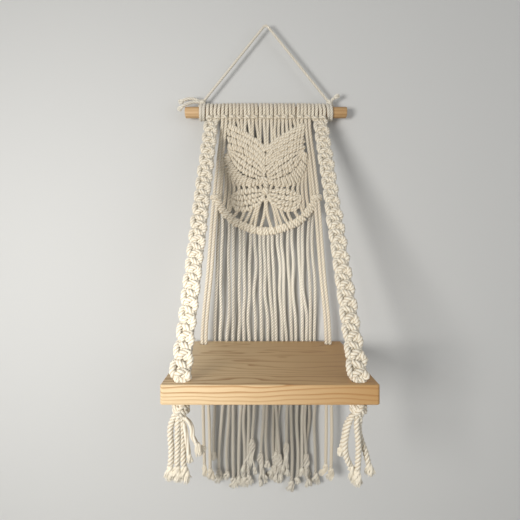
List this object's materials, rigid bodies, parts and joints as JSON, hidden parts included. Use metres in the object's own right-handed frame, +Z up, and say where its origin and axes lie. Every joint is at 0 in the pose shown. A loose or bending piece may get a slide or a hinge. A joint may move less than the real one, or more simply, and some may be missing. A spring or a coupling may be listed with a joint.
{
  "type": "hanging rope shelf",
  "caption": "Hanging rope shelf: a dowel on a cord carries a knotted butterfly panel with a fringe, and knotted ropes that hold a pine board.",
  "frame": {"origin": "the point where the hanging cord bears on its nail", "axes": "+X to the viewer's right, +Y towards the wall, +Z up"},
  "size_m": [0.243, 0.1881, 0.6902],
  "materials": {
    "board_wood": "sanded, clear matt",
    "dowel_wood": "sanded",
    "cotton_rope": "twisted cotton",
    "fringe_rope": "twisted cotton",
    "hanger_cord": "twisted cotton"
  },
  "bodies": {
    "hanger": {"hanging_cord": "hanger_cord", "hanger_knot_left": "hanger_cord", "hanger_knot_right": "hanger_cord"},
    "curtain": {"dowel": "dowel_wood", "shelf_board": "board_wood", "larks_head_left_1": "cotton_rope", "larks_head_left_2": "cotton_rope", "larks_head_left_3": "cotton_rope", "larks_head_left_4": "cotton_rope", "larks_head_left_5": "cotton_rope", "larks_head_right_1": "cotton_rope", "larks_head_right_2": "cotton_rope", "larks_head_right_3": "cotton_rope", "larks_head_right_4": "cotton_rope", "larks_head_right_5": "cotton_rope", "hitched_field_left": "cotton_rope", "hitched_field_right": "cotton_rope", "upper_wing_left": "cotton_rope", "upper_wing_right": "cotton_rope", "upper_wing_rib_left": "cotton_rope", "upper_wing_rib_right": "cotton_rope", "lower_wing_left": "cotton_rope", "lower_wing_right": "cotton_rope", "butterfly_body": "cotton_rope", "support_cord_left": "cotton_rope", "support_cord_right": "cotton_rope", "border": "cotton_rope", "sinnet_left": "cotton_rope", "sinnet_right": "cotton_rope", "fringe_strand_1": "fringe_rope", "fringe_strand_2": "fringe_rope", "fringe_strand_3": "fringe_rope", "fringe_strand_4": "fringe_rope", "fringe_strand_5": "fringe_rope", "fringe_strand_6": "fringe_rope", "fringe_strand_7": "fringe_rope", "fringe_strand_8": "fringe_rope", "fringe_strand_9": "fringe_rope", "fringe_strand_10": "fringe_rope", "fringe_strand_11": "fringe_rope", "fringe_strand_12": "fringe_rope", "fringe_strand_13": "fringe_rope", "fringe_strand_14": "fringe_rope", "fringe_strand_15": "fringe_rope", "fringe_strand_16": "fringe_rope", "fringe_strand_17": "fringe_rope", "fringe_strand_18": "fringe_rope", "fringe_strand_19": "fringe_rope", "fringe_strand_20": "fringe_rope"},
    "tassel_left": {"tassel_rope_left_1": "cotton_rope", "tassel_rope_left_2": "cotton_rope", "tassel_rope_left_3": "cotton_rope", "tassel_rope_left_4": "cotton_rope"},
    "tassel_right": {"tassel_rope_right_1": "cotton_rope", "tassel_rope_right_2": "cotton_rope", "tassel_rope_right_3": "cotton_rope", "tassel_rope_right_4": "cotton_rope"}
  },
  "joints": [
    {"name": "curtain_swing", "type": "hinge", "parent": "hanger", "child": "curtain", "pos_m": [0, 0, -0.125], "axis": [-1, 0, 0], "range_deg": [0, 25]},
    {"name": "tassel_swing_left", "type": "hinge", "parent": "curtain", "child": "tassel_left", "pos_m": [-0.0913, -0.162, -0.4991], "axis": [1, 0, 0], "range_deg": [-40, 40]},
    {"name": "tassel_swing_right", "type": "hinge", "parent": "curtain", "child": "tassel_right", "pos_m": [0.0913, -0.162, -0.4991], "axis": [1, 0, 0], "range_deg": [-40, 40]}
  ]
}
